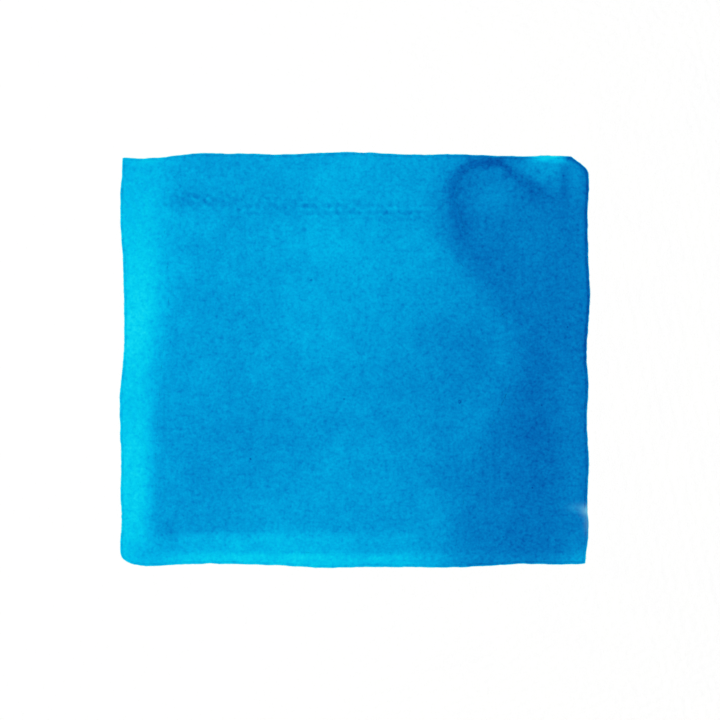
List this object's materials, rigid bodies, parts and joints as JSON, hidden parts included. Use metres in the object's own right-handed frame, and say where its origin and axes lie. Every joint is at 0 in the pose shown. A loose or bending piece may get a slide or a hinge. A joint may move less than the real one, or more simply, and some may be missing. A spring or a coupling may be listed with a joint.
{
  "type": "watercolour sample card",
  "caption": "Square sheet of heavy white watercolour paper carrying one hand-painted oblong of layered blue wash, to lie flat or be pinned up as a colour sample.",
  "frame": {"origin": "middle of the sheet's back, where it lies on the table", "axes": "+Z out of the painted face, +Y towards the top of the sample, +X towards its right-hand side"},
  "size_m": [0.12, 0.12, 0.0008],
  "materials": {
    "cotton_paper": "matt, cold-pressed tooth",
    "cyan_paint": "matt, transparent stain in the paper",
    "azure_paint": "matt, granulating",
    "cobalt_paint": "matt, granulating",
    "heaped_pigment": "matt, rough",
    "edge_pigment": "matt",
    "loose_grain": "matt"
  },
  "bodies": {
    "root": {"paper_sheet": "cotton_paper", "first_wash": "cyan_paint", "second_wash": "azure_paint", "deep_charge": "cobalt_paint", "backrun_ridge": "heaped_pigment", "edge_bead": "edge_pigment", "pigment_grains": "loose_grain"}
  },
  "joints": []
}
